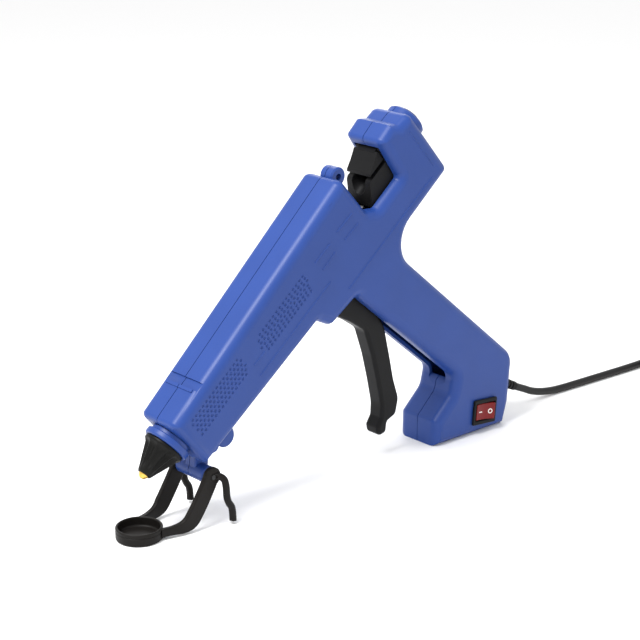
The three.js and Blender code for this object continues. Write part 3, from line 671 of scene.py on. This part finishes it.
# ---------------------------------------------------------------- housing
HOUSING = [
    (-36, 0, 0), (37.5, 0, 0), (37.5, 19.5, 5), (20.5, 35.5, 9), (17, 50.2, 8), (114.5, 131.4, 5),
    (138, 115, 5), (150.5, 121, 3),
    barrel_point(BARREL_FRONT, -23.3), barrel_point(BARREL_FRONT, 18.7, 4),
    barrel_point(BARREL_REAR, 30, 5), barrel_point(BARREL_REAR + 0.5, -5, 4),
    barrel_point(240, GAP_FLOOR, 4), barrel_point(BLOCK_FRONT - 1.7, GAP_FLOOR, 2.5),
    barrel_point(BLOCK_FRONT + 1.7, 21.5, 4), barrel_point(286, 22.5), barrel_point(291.5, 16.8),
    barrel_point(BLOCK_REAR, 16.2, 5), barrel_point(BLOCK_REAR, -42.7, 5),
    (83.6, 160.4, 21), (-44, 53.2, 14), (-41, 17, 0),
]
SCREWS = [
    barrel_point(44, -17), barrel_point(215, 21), barrel_point(293, -33), (92, 151), (20, 84), (24, 10),
    (-27, 52),
]
LUG = barrel_point(237.5, 22.8)
BUMP = barrel_point(57, -30.5)
BAND = {"back": (59.3, 61.5), "up": (18, 20.9), "half": 13.5}
BAND_GROOVE = {"back": (61.5, 68), "up": (19.3, 26), "half": 17}


def anticlockwise(corners):
    pairs = zip(corners, corners[1:] + corners[:1])
    turn = sum(a[0] * b[1] - b[0] * a[1] for a, b in pairs)
    return corners if turn > 0 else corners[::-1]


def barrel_rod(name, radius, start, end, segments=48, rim=0.0):
    profile = [(0, start), (radius, start), (radius, end - rim), (radius - rim, end), (0, end)]
    return lathe(name, profile, segments, BARREL)


def barrel_block(name, back, up, half):
    return block(name, (-back[1], -half, up[0]), (-back[0], half, up[1]), BARREL)


def middle_rod(name, radius, half, place, rim=0.0, segments=32):
    """A rod that reaches as far to each side of the mid-plane."""
    return rod(name, radius, -half, half, place[0], place[1], rim, segments)


def middle_slab(name, corners, half, edge=0.0, edge_steps=6, arc_steps=8):
    return slab(name, anticlockwise(corners), -half, half, edge, edge_steps, arc_steps)


def outside():
    """The case as a solid, with the bracket of the stand."""
    neck = [(236.5, 36, 1), (248, 36, 1), (247, 46, 2), (243, 51), (235, 55.5)]
    return joined(
        middle_slab("housing", HOUSING, HALF_WIDTH, EDGE_ROUND, edge_steps=8, arc_steps=10),
        barrel_rod("boss", radius=14, start=BLOCK_REAR - 2, end=BOSS_END, segments=72, rim=1.5),
        middle_rod("lug", radius=6.5, half=6, place=LUG, rim=1, segments=40),
        middle_rod("bump", radius=7.5, half=9.5, place=BUMP, rim=1.5, segments=40),
        middle_slab("neck", neck, half=5.5, edge=1.2, edge_steps=3, arc_steps=5),
        middle_rod("crossbar", radius=6, half=14.5, place=STAND_PIVOT, rim=0.8, segments=40),
    )


def openings():
    """All that is cut from the hollowed case, but for the screw holes and the pits."""
    floor = -14.8
    gap_side = [barrel_point(226, floor), barrel_point(272.5, floor), barrel_point(272.5, -3),
                barrel_point(226, -3)]
    recess = [barrel_point(240, floor), barrel_point(276, floor), barrel_point(276, 15.4, 3),
              barrel_point(240, 15.4, 3)]
    slot = [(134, 100), (134, 123), (116, 142), (17, 62), (11, 50), (21, 41), (60, 50)]
    return [
        barrel_rod("nose", radius=13, start=BARREL_FRONT - 3, end=BARREL_FRONT + 4),
        barrel_rod("stick way", radius=8.4, start=BARREL_REAR - 5, end=BARREL_REAR + 4),
        middle_slab("carriage slot", gap_side, CARRIAGE_ROOM_HALF),
        middle_slab("block recess", recess, CARRIAGE_ROOM_HALF),
        barrel_rod("inlet", radius=8.6, start=BLOCK_REAR - 6, end=BOSS_END + 2),
        middle_rod("eye", radius=2.3, half=HALF_WIDTH, place=LUG, segments=24),
        middle_rod("stand pin hole", STAND_PIN_HOLE, HALF_WIDTH, STAND_PIVOT, segments=24),
        middle_slab("trigger slot", slot, TRIGGER_SLOT_HALF),
        middle_rod("pivot hole", radius=2.3, half=15.3, place=barrel_point(*TRIGGER_PIVOT), segments=16),
        switch_hole(),
        barrel_block("band groove", **BAND_GROOVE),
        lathe("cord hole", [(0, -8), (4.5, -8), (4.5, 8), (0, 8)], 32, exit_matrix()),
    ]


def switch_matrix():
    """The frame of the switch, with its origin on the case's left face and +Y outward."""
    place = Matrix.Translation((SWITCH["x"], HALF_WIDTH, SWITCH["z"]))
    return place @ Matrix.Rotation(-SWITCH["tilt"], 4, "Y")


def switch_hole():
    half_x, half_z = SWITCH_HOLE["half"]
    depth = SWITCH_HOLE["depth"]
    return block("switch hole", (-half_x, -depth, -half_z), (half_x, depth, half_z), switch_matrix())


PIT = {"radius": 1.25, "sink": 0.45, "along": 3.75, "across": 2.75, "slant": 1.6}


def pit_tool(back, up, side):
    """A small ball that leaves a shallow round pit in a side face."""
    x, z, _ = barrel_point(back, up)
    y = side * (HALF_WIDTH + PIT["sink"])
    ball = bmesh.new()
    place = Matrix.Translation(Vector((x, y, z)) * MM)
    bmesh.ops.create_icosphere(ball, subdivisions=2, radius=PIT["radius"] * MM, matrix=place)
    mesh = bpy.data.meshes.new("pit")
    ball.to_mesh(mesh)
    ball.free()
    return linked_object("pit", mesh)


PIT_FIELDS = [  # back from, back to, lowest row, rows, and the end that the rows slant towards
    (44, 99, -2.6, 6, 1),
    (112, 168, -5.2, 6, -1),
]


def side_pits():
    """Two staggered fields of pits on each side, with slanted ends that face each other."""
    pits = []
    for start, end, low, rows, slant in PIT_FIELDS:
        for row in range(rows):
            up = low + row * PIT["across"]
            offset = PIT["along"] / 2 * (row % 2)
            shorten = abs(row - (rows - 1) / 2) * PIT["slant"]
            first = start + (shorten if slant < 0 else 0)
            last = end - (shorten if slant > 0 else 0)
            count = int((last - first - offset) / PIT["along"]) + 1
            for k in range(count):
                for side in (-1, 1):
                    pits.append(pit_tool(first + offset + k * PIT["along"], up, side))
    return as_one("pits", pits)


def ridge(start, end, width, depth, side):
    """A low ridge on a side face between two points in the XZ plane, with slanting flanks."""
    path = [Vector((x, side * HALF_WIDTH, z)) for x, z, _ in (start, end)]
    diamond = [(depth, 0), (0, width / 2), (-depth, 0), (0, -width / 2)]
    return sweep("ridge", path, diamond)


DASHES = {
    "width": 1.1,
    "depth": 0.65,
    "lines": [((222.8, 6.5), (205.7, 7.3)), ((221.8, -3), (206.7, -2.6)), ((196.4, 6), (179.5, 6.7)),
              ((195.6, -1.8), (180.7, -2.6))],
}
FINE_LINES = {
    "width": 1,
    "depth": 0.55,
    "lines": [((180, -14.2), (99, -13)), ((112.8, -3.6), (101, -3.4)), ((287.7, -32.9), (186.7, -31.5)),
              ((293.5, 8), (293.5, -27))],
}


def side_ridges():
    ridges = []
    for side in (-1, 1):
        for kind in (DASHES, FINE_LINES):
            for start, end in kind["lines"]:
                ends = (barrel_point(*start), barrel_point(*end))
                ridges.append(ridge(*ends, kind["width"], kind["depth"], side))
    return as_one("ridges", ridges)


SCREW_HEAD = {"radius": 2.9, "top": -18, "seat": -15.2, "hole": 3.3, "room": 0.3}
POST_RADIUS = 4.8


def screw_holes():
    radius = SCREW_HEAD["hole"]
    floor = SCREW_HEAD["seat"] + SCREW_HEAD["room"]
    holes = [rod("head hole", radius, -HALF_WIDTH - 1, floor, x, z, 0, 28) for x, z, *_ in SCREWS]
    return as_one("screw holes", holes)


def screw_posts():
    reach = HALF_WIDTH - 1
    return as_one("posts", [middle_rod("post", POST_RADIUS, reach, place, segments=24) for place in SCREWS])


def half_space(low, high):
    """A box between two heights along Y that is larger than the gun in its other directions."""
    reach = 1200
    return block("half", (-reach, low, -reach), (reach, high, reach))


def make_housing():
    shell = outside()
    inside = inset(HOUSING, WALL)
    half, edge = HALF_WIDTH - WALL, EDGE_ROUND - WALL
    cut(shell, middle_slab("cavity", inside, half, edge, edge_steps=4, arc_steps=6))
    joined(shell, screw_posts(), side_ridges(), barrel_block("band", **BAND))
    cut(shell, *openings(), screw_holes(), side_pits())
    twin = linked_object("right_case", shell.data.copy())
    right = kept(twin, half_space(-BEYOND, SEAM_Y - SEAM_GAP / 2))
    left = kept(shell, half_space(SEAM_Y + SEAM_GAP / 2, BEYOND))
    left.name = "left_case"
    finish_piece(shade(left), "housing", BLUE, "housing_blue", "left_housing")
    finish_piece(shade(right), "housing", BLUE, "housing_blue", "right_housing")


make_housing()


def make_screws():
    """Pan heads with a cross recess, at the bottom of their counterbores."""
    radius, top, seat = SCREW_HEAD["radius"], SCREW_HEAD["top"], SCREW_HEAD["seat"]
    shaft, end = 1.25, 9
    profile = [(0, top), (1.2, top + 0.05), (2.1, top + 0.4), (2.7, top + 1), (radius, top + 1.8),
               (radius, seat), (shaft, seat), (shaft, end), (0, end)]
    long, thin, twist = 1.9, 0.33, 0.7
    for index, (x, z, *_) in enumerate(SCREWS, 1):
        screw = lathe(f"case_screw_{index}", profile, 40, across_matrix(x, z))
        spin = Matrix.Translation((x, 0, z)) @ Matrix.Rotation(twist * index, 4, "Y")
        for a, b in ((long, thin), (thin, long)):
            cut(screw, block("bar", (-a, top - 1, -b), (a, top + 1.3, b), spin))
        finish_piece(shade(screw), "housing", STEEL, "steel", f"housing_screw_{index}")


make_screws()


# ---------------------------------------------------------------- nozzle end
def arc_profile(centre, radius, start, end, steps=6):
    """Points on a quarter or other arc of a lathe profile, by angles in degrees."""
    points = []
    for k in range(steps + 1):
        angle = math.radians(start + (end - start) * k / steps)
        points.append((centre[0] + radius * math.cos(angle), centre[1] + radius * math.sin(angle)))
    return points


def make_front_ring():
    profile = [(7.7, 25.5), (14.2, 25.5)]
    profile += arc_profile((14.4, 27.1), 1.6, -90, 0)
    profile += arc_profile((15.2, 29.4), 0.8, 0, 90, 4)
    profile += [(14, 30.2), (14, 32.7), (12.7, 32.7), (12.7, 37.2), (7.7, 37.2)]
    ring = shade(lathe("nose_ring", profile, 96, BARREL))
    finish_piece(ring, "housing", BLUE, "housing_blue", "front_ring")


CONE = {"tip": 2.6, "tip_radius": 4.6, "foot": 21.5, "foot_radius": 12.6, "chamfer_end": 2.9}
FLUTES = {"count": 12, "depth": 0.17, "from": 3.5, "grow": 7, "to": 19.5, "fade": 4, "curve": 0.7}


def cone_radius(along):
    slope = (CONE["foot_radius"] - CONE["tip_radius"]) / (CONE["foot"] - CONE["tip"])
    return CONE["tip_radius"] + (along - CONE["tip"]) * slope


def fluted(radius, along, angle):
    """The boot's outside pulls in between its ribs, most in its middle. Its inside stays round."""
    skin = 0.5
    if radius <= cone_radius(along) - skin:
        return radius
    grown = smoothstep((along - FLUTES["from"]) / FLUTES["grow"])
    left = 1 - smoothstep((along - FLUTES["to"]) / FLUTES["fade"])
    wave = (0.5 - 0.5 * math.cos(FLUTES["count"] * angle)) ** FLUTES["curve"]
    return radius * (1 - FLUTES["depth"] * grown * left * wave)


def make_boot():
    outer = [(4.1, CONE["tip"]), (4.6, CONE["chamfer_end"])]
    steps, proud = 16, 0.05
    for k in range(1, steps + 1):
        along = CONE["chamfer_end"] + (CONE["foot"] - CONE["chamfer_end"]) * k / steps
        outer.append((cone_radius(along) + proud, along))
    outer += [(13.7, 22.6), (14.2, 23.4), (14.2, 24.7), (13.9, 25.2)]
    inner = [(7.7, 25.2), (7.7, 24), (5.9, 12), (3.9, CONE["tip"])]
    boot = shade(lathe("nozzle_sleeve", outer + inner, 192, BARREL, fluted), 50)
    finish_piece(boot, "housing", RUBBER, "black_rubber", "nozzle_boot")


def make_nozzle():
    profile = [(1.1, 0.1), (1.6, 0), (1.9, 0.25), (3.3, 2.1), (3.5, 2.6), (5.6, 12), (7.4, 24), (7.4, 34),
               (5, 34), (5, 44), (4.2, 44), (4.2, 20), (1.1, 9)]
    nozzle = shade(lathe("brass_nozzle", profile, 64, BARREL))
    finish_piece(nozzle, "housing", BRASS, "brass", "nozzle")


make_front_ring()
make_boot()
make_nozzle()


# ---------------------------------------------------------------- trigger and feed
LEVER = [
    (134, 129, 4), (126, 134, 4), (112, 133, 6), (88, 116, 9), (78.1, 99.3, 20), (72.2, 74.8, 60),
    (68.5, 58, 40), (63.2, 42, 11), (66, 30, 5), (74.5, 26.5, 3), (75.6, 18.6, 3.2), (83.2, 16.6, 3.6),
    (84.6, 24, 3), (80.6, 30.5, 3), (80.2, 40, 20), (84.4, 59, 30), (89.6, 79, 30), (97, 100, 9),
    (109.5, 108.5, 9), (133.5, 121.5, 3),
]
LEVER_HALF = 7


def make_trigger():
    """The lever with its hub and arm. The arm's end is forked for the link."""
    pivot = barrel_point(*TRIGGER_PIVOT)
    pin = barrel_point(*ARM_PIN)
    (root, low), (back, up) = TRIGGER_PIVOT, ARM_PIN
    corner = 3.8
    arm = [barrel_point(root - 5, low, 2), barrel_point(back - corner, up + corner, 3.5),
           barrel_point(back + corner, up + corner, 3.5), barrel_point(root + 12, low, 2)]
    fork = [barrel_point(back - 9, up - 5.5), barrel_point(back + 22, up - 9),
            barrel_point(back + 22, up + 8), barrel_point(back - 9, up + 8)]
    trigger = joined(
        middle_slab("trigger_lever", LEVER, LEVER_HALF, edge=2.8),
        middle_slab("arm", arm, LEVER_HALF - 1, edge=0.6, edge_steps=2, arc_steps=5),
        middle_rod("hub", radius=5.5, half=LEVER_HALF, place=pivot, rim=0.5),
    )
    cut(
        trigger,
        middle_rod("bore", radius=2.35, half=HALF_WIDTH, place=pivot, segments=24),
        middle_rod("eye", radius=1.9, half=HALF_WIDTH, place=pin, segments=20),
        middle_slab("fork", fork, LINK_SLOT_HALF),
    )
    finish_piece(shade(trigger), "trigger", BLACK, "black_plastic", "trigger")


def softened_copy(node, name):
    """The CAD node's shape with its flat faces whole again and its edges rounded."""
    piece = linked_object(name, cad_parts[node].data.copy())
    clean = bmesh.new()
    clean.from_mesh(piece.data)
    bmesh.ops.remove_doubles(clean, verts=clean.verts, dist=2 * SAME_PLACE)
    bmesh.ops.dissolve_limit(clean, angle_limit=math.radians(1), verts=clean.verts, edges=clean.edges)
    clean.to_mesh(piece.data)
    clean.free()
    return shade(bevel(piece, 0.5))


def make_feed():
    carriage = softened_copy("feed_carriage", "carriage_slider")
    finish_piece(carriage, "carriage", BLACK, "black_plastic", "feed_carriage")
    wedge = softened_copy("stick_clamp", "clamp_wedge")
    finish_piece(wedge, "clamp", BLACK, "black_plastic", "stick_clamp")


def make_guides():
    """The collar at the rear and the soft sleeve at the melt chamber, which guide the stick."""
    collar = [(STICK_RADIUS, 288), (8.3, 288), (8.3, BOSS_END), (9.2, BOSS_END + 0.3)]
    collar += arc_profile((8.9, BOSS_END + 1.1), 0.7, 0, 90, 4)
    collar += [(7.4, BOSS_END + 1.8), (STICK_RADIUS, BOSS_END + 0.9)]
    bush = shade(lathe("inlet_collar", collar, 64, BARREL))
    finish_piece(bush, "housing", BLACK, "black_plastic", "rear_guide_bush")
    tube = [(7.2, 140.3), (8.4, 140.3), (8.4, 153), (8, 156), (8, 232.4), (7.5, 233), (6.8, 233),
            (STICK_RADIUS, 232.2), (STICK_RADIUS, 152.5), (7.2, 152.5)]
    sleeve = shade(lathe("stick_sleeve", tube, 64, BARREL))
    finish_piece(sleeve, "housing", SILICONE, "silicone", "inlet_sleeve")


make_trigger()
make_feed()
make_guides()


# ---------------------------------------------------------------- switch
def make_switch():
    """A frame with a lip round the rocker, and the switch's body behind it."""
    place = switch_matrix()
    half_x, half_z = SWITCH["half"]
    frame_outline = rectangle(half_x - 0.1, half_z - 0.1, 1.2)
    body_outline = rectangle(half_x - 1.5, half_z - 2, 0.6)
    rim = slab("rocker_frame", frame_outline, 0.2, 2.3, edge=0.7, edge_steps=4, arc_steps=6, matrix=place)
    body = slab("body", body_outline, -16, 1, edge=0.4, edge_steps=2, arc_steps=4, matrix=place)
    pocket = slab("pocket", rectangle(9.8, 6.6, 0.7), -7.1, 3.1, matrix=place)
    lip = slab("lip", rectangle(10.3, 7.1, 0.9), 1.7, 3.1, matrix=place)
    cut(joined(rim, body), pocket, lip)
    finish_piece(shade(rim), "housing", BLACK, "black_plastic", "switch_body")


def rocker_matrix():
    return switch_matrix() @ Matrix.Rotation(ROCKER["tilt"], 4, "Z")


def make_rocker():
    """Two gently hollowed halves that meet in a soft valley."""
    half_long, half_wide = ROCKER["half"]
    steps = 5
    shares = [k / steps for k in range(steps, -steps - 1, -1)]
    top = [(half_long * s, ROCKER["valley"] + ROCKER["rise"] * abs(s) ** ROCKER["curve"]) for s in shares]
    profile = [(-8.3, -4), (8.3, -4)] + top
    laid = rocker_matrix() @ Matrix(((1, 0, 0, 0), (0, 0, 1, 0), (0, -1, 0, 0), (0, 0, 0, 1)))
    rocker = slab("rocker_cap", profile, -half_wide, half_wide, matrix=laid)
    bevel(rocker, 0.6, segments=3, angle=40)
    finish_piece(shade(rocker, 50), "rocker", RED, "rocker_red", "rocker_button")


def make_marks():
    """The usual line and circle for on and off, each laid along its slanting half."""
    slant = math.radians(9.5)
    out, height = 4.5, 2.5
    on_turn = Matrix.Rotation(slant, 4, "Z")
    on_place = rocker_matrix() @ Matrix.Translation((out, height, 0)) @ on_turn
    line = block("on_mark", (-1.5, -0.2, -0.4), (1.5, 0.14, 0.4), on_place)
    finish_piece(shade(line), "rocker", MARK_WHITE, "rocker_red")
    off_turn = Matrix.Rotation(math.pi / 2 - slant, 4, "Z")
    off_place = rocker_matrix() @ Matrix.Translation((-out, height, 0)) @ off_turn
    ring = lathe("off_mark", [(1.2, -0.14), (1.9, -0.14), (1.9, 0.2), (1.2, 0.2)], 40, off_place)
    finish_piece(shade(ring), "rocker", MARK_WHITE, "rocker_red")


make_switch()
make_rocker()
make_marks()


# ---------------------------------------------------------------- stand
# Each list is the middle of one part of the left arm.
STRAP_PATH = [
    (244, 16.8, 33.5), (247.4, 16.8, 27.5), (252.5, 16.8, 19.3), (257.2, 16.7, 12.4), (260.9, 16.4, 8),
    (265.8, 15.6, 5.7), (272, 14.3, 5), (278, 12.9, 4.8), (281.6, 12.1, 4.7),
]
LEG_PATH = [
    (241.5, 17, 35), (238.8, 19.6, 34.8), (236.6, 21.8, 32.6), (235.8, 22.7, 28), (235.4, 22.9, 20.5),
    (234, 22.9, 16), (231.8, 22.9, 12.4), (230.9, 22.9, 8.5), (230.6, 22.9, 3.2), (230.6, 22.9, 2.4),
]
STRAP = {"half_thick": 1.9, "half_wide": 6, "narrower": 3, "from": 0.42, "over": 0.4}
LEG_RADIUS = 2.4
HUB_RADIUS = 6.5


def strap_section(share):
    """Broad beside the barrel and narrow where it meets the cup."""
    narrowed = STRAP["narrower"] * smoothstep((share - STRAP["from"]) / STRAP["over"])
    return box_section(STRAP["half_thick"], STRAP["half_wide"] - narrowed, 1.1)


def side_path(points, side):
    return smooth_path([(x, side * y, z) for x, y, z in points])


def make_stand_arm(name, side, node):
    arm = sweep(name, side_path(STRAP_PATH, side), strap_section)
    hub = sorted((side * 15, side * 18.8))
    through = sorted((side * 10, side * 25))
    joined(
        arm,
        rod("hub", HUB_RADIUS, *hub, *STAND_PIVOT, rim=0.7, segments=48),
        sweep("leg", side_path(LEG_PATH, side), round_section(LEG_RADIUS, 20), Vector((1, 0, 0))),
    )
    cut(arm, rod("pin hole", STAND_PIN_HOLE, *through, *STAND_PIVOT))
    finish_piece(shade(arm, 50), "stand", STAND_BLACK, "black_plastic", node)


def make_cup():
    """A round drip cup with a rolled rim, a shallow groove below it and a rounded floor."""
    outer, height, wall, floor = CUP["radius"], CUP["height"], CUP["wall"], CUP["floor"]
    inner = outer - wall
    foot, fillet, groove = 1.4, 1.6, 0.25
    profile = [(0, 0), (outer - foot, 0)]
    profile += arc_profile((outer - foot, foot), foot, -90, 0, 5)
    profile += [(outer, height - 3), (outer - groove, height - 2.8), (outer - groove, height - 2.4),
                (outer, height - 2.2)]
    profile += arc_profile((outer - wall / 2, height - wall / 2), wall / 2, 0, 180, 8)
    profile += arc_profile((inner - fillet, floor + fillet), fillet, 0, -90, 5)
    profile += [(0, floor)]
    stand_up = Matrix.Translation((CUP["x"], 0, 0)) @ Matrix.Rotation(math.pi / 2, 4, "Y")
    cup = shade(lathe("glue_cup", profile, 96, stand_up))
    finish_piece(cup, "stand", STAND_BLACK, "black_plastic", "drip_cup")


make_stand_arm("stand_arm_left", 1, "stand_left_arm")
make_stand_arm("stand_arm_right", -1, "stand_right_arm")
make_cup()


# ---------------------------------------------------------------- carried-over CAD nodes
NODE_MATERIALS = {
    "melt_chamber": ALUMINIUM, "left_heater": CERAMIC, "right_heater": CERAMIC,
    "front_chamber_support": HEAT_PLASTIC, "rear_chamber_support": HEAT_PLASTIC,
    "insulation_sleeve": FIBRE, "thermal_fuse": STEEL, "sleeve_clip": STEEL,
    "trigger_pivot_pin": STEEL, "front_link_pin": STEEL, "feed_link": STEEL, "rear_link_pin": STEEL,
    "clamp_pin": STEEL, "return_spring": STEEL, "stand_pivot_pin": DARK_STEEL,
    "switch_terminal_1": BRASS, "switch_terminal_2": BRASS, "switch_terminal_3": BRASS,
    "left_lead": CORD_RUBBER, "right_lead": FIBRE, "cord_clamp": BLACK,
    "left_clamp_screw": STEEL, "right_clamp_screw": STEEL,
}
for node_name, node_material in NODE_MATERIALS.items():
    for material_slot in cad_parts[node_name].material_slots:
        material_slot.material = node_material
